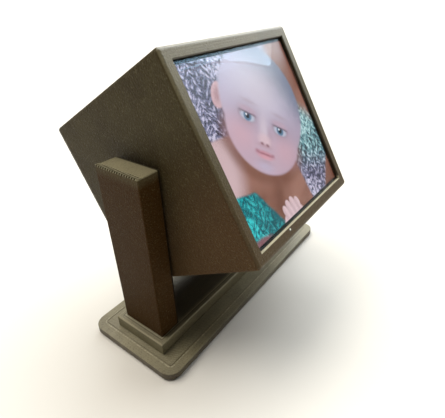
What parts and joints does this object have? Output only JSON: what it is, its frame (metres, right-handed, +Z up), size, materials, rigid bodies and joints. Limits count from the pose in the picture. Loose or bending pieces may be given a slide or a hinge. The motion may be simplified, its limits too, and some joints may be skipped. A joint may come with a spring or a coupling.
{
  "type": "digital photo frame",
  "caption": "Cube-shaped digital photo frame: a printed housing with a square screen in its front face, tilting on a cross axis between two posts on a plinth and base plate.",
  "frame": {"origin": "on the table, under the middle of the cube, straight below the middle of the tilt axis", "axes": "+X to the right along the tilt axis, -Y towards the viewer, +Z up"},
  "size_m": [0.1417, 0.1116, 0.1334],
  "materials": {
    "base_print": "printed plastic, satin, fine lines on the flat faces",
    "plinth_print": "printed plastic, satin",
    "post_print": "printed plastic, satin, fine upright grain",
    "post_cover_print": "printed plastic, satin",
    "shell_print": "printed plastic, satin, fine grain on the sides",
    "cover_print": "printed plastic, satin",
    "button_print": "moulded plastic, satin",
    "pad_rubber": "soft foam rubber",
    "screw_steel": "black zinc plated",
    "insert_brass": "turned",
    "turned_steel": "ground",
    "nut_steel": "zinc plated",
    "spring_steel": "blued spring steel",
    "washer_nylon": "natural nylon",
    "inlet_steel": "stamped, bright",
    "tray_steel": "stamped sheet",
    "can_steel": "stamped shield",
    "lens_glass": "clear, polished",
    "light_pipe_clear": "clear plastic",
    "mask_black": "printed black border",
    "tape_black": "double-sided tape",
    "lcd_picture": "lit picture",
    "backlight_white": "white diffuser",
    "led_white": "clear resin on a white body",
    "circuit_green": "solder mask",
    "chip_black": "moulded",
    "inductor_grey": "ferrite",
    "connector_cream": "moulded nylon",
    "connector_black": "moulded nylon",
    "switch_black": "moulded",
    "card_black": "moulded",
    "cable_black": "soft sheath",
    "flex_amber": "polyimide film"
  },
  "bodies": {
    "stand": {"base_plate": "base_print", "plinth": "plinth_print", "anti_slip_pad": "pad_rubber", "left_post": "post_print", "right_post": "post_print", "right_post_cover": "post_cover_print", "post_screws": "screw_steel", "post_inserts": "insert_brass", "post_cover_screws": "screw_steel", "pivot_pin": "turned_steel", "pivot_tube": "insert_brass", "thrust_washers": "washer_nylon", "tube_nut": "nut_steel", "clutch_nut": "nut_steel", "spring_washer": "spring_steel", "tab_washer": "nut_steel", "power_inlet": "inlet_steel", "inlet_tongue": "connector_black", "inlet_board": "circuit_green", "stand_cable": "cable_black"},
    "cube": {"housing_shell": "shell_print", "rear_cover": "cover_print", "cover_screws": "screw_steel", "cover_inserts": "insert_brass", "pivot_bushes": "washer_nylon", "status_light_pipe": "light_pipe_clear", "lens_tape": "tape_black", "cover_lens": "lens_glass", "screen_mask": "mask_black", "lcd_cell": "lcd_picture", "backlight": "backlight_white", "panel_tray": "tray_steel", "status_led": "led_white", "led_board": "circuit_green", "board_standoffs": "insert_brass", "board_screws": "screw_steel", "controller_board": "circuit_green", "processor_module": "can_steel", "chips": "chip_black", "inductor": "inductor_grey", "card_socket": "inlet_steel", "memory_card": "card_black", "panel_connector": "connector_cream", "panel_flex": "flex_amber", "power_socket": "connector_cream", "power_plug": "connector_cream", "cube_cable": "cable_black", "button_board": "circuit_green", "button_switch": "switch_black", "button_wires": "cable_black"},
    "button": {"control_button": "button_print", "switch_plunger": "connector_black"}
  },
  "joints": [
    {"name": "tilt", "type": "hinge", "parent": "stand", "child": "cube", "pos_m": [0, 0, 0.0776], "axis": [1, 0, 0], "range_deg": [-61, 44]},
    {"name": "button_press", "type": "slide", "parent": "cube", "child": "button", "axis": [0, -0.8746, 0.4848], "range_m": [0, 0.0006], "stiffness_N_per_m": 2000}
  ]
}
